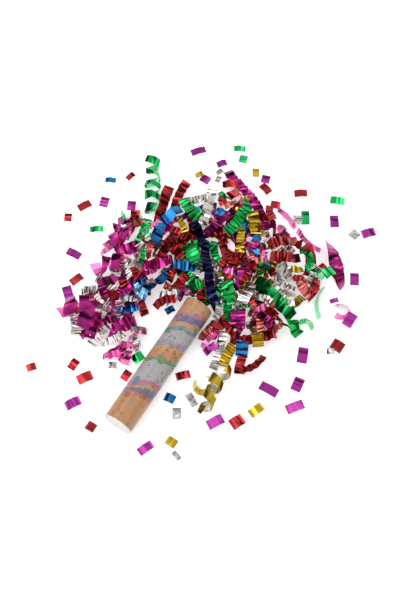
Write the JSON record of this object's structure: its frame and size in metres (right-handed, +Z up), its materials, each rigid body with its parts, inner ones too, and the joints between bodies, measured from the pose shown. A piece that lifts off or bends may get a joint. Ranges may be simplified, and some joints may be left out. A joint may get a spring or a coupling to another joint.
{
  "type": "confetti popper",
  "caption": "Hand-held paper-tube confetti popper with a twist-release grip and sprung plunger, lying fired with its pleated foil streamers and confetti spread round the mouth.",
  "frame": {"origin": "middle of the base cap's outer flat face, on the tube's axis", "axes": "+X along the tube from the base cap to the mouth, +Z up from the table it lies on, +Y to the left of the tube seen from the base"},
  "size_m": [0.599, 0.5441, 0.0654],
  "materials": {
    "white_polypropylene": "moulded, semi-gloss",
    "natural_polypropylene": "moulded, matte",
    "kraft_board": "spiral wound board, raw edges",
    "grey_board": "die-cut grey board",
    "printed_paper": "offset print under satin varnish",
    "seal_paper": "torn tissue paper",
    "spring_steel": "drawn wire",
    "foil_magenta": "metallised film, mirror finish",
    "foil_red": "metallised film, mirror finish",
    "foil_green": "metallised film, mirror finish",
    "foil_blue": "metallised film, mirror finish",
    "foil_navy": "metallised film, mirror finish",
    "foil_gold": "metallised film, mirror finish",
    "foil_silver": "metallised film, mirror finish"
  },
  "bodies": {
    "barrel": {"barrel_tube": "kraft_board", "barrel_wrap": "printed_paper", "coupler": "natural_polypropylene", "joint_washer": "grey_board", "retaining_clip": "spring_steel", "spring_seat": "natural_polypropylene", "main_spring": "spring_steel", "mouth_seal": "seal_paper", "streamers_magenta": "foil_magenta", "streamers_red": "foil_red", "streamers_green": "foil_green", "streamers_blue": "foil_blue", "streamers_navy": "foil_navy", "streamers_gold": "foil_gold", "streamers_silver": "foil_silver", "confetti_magenta": "foil_magenta", "confetti_red": "foil_red", "confetti_green": "foil_green", "confetti_blue": "foil_blue", "confetti_gold": "foil_gold", "confetti_silver": "foil_silver"},
    "grip": {"base_cap": "white_polypropylene", "grip_tube": "kraft_board", "grip_wrap": "printed_paper", "bearing_ring": "natural_polypropylene", "latch_cup": "natural_polypropylene"},
    "plunger": {"pusher_cup": "natural_polypropylene", "pusher_pad": "grey_board", "latch_stem": "natural_polypropylene", "latch_pin": "spring_steel"}
  },
  "joints": [
    {"name": "grip_twist", "type": "hinge", "parent": "barrel", "child": "grip", "pos_m": [0, 0, 0], "axis": [1, 0, 0], "range_deg": [-90, 0]},
    {"name": "plunger_slide", "type": "slide", "parent": "barrel", "child": "plunger", "axis": [1, 0, 0], "range_m": [-0.1079, 0], "stiffness_N_per_m": 250, "deforming": ["main_spring"]}
  ]
}
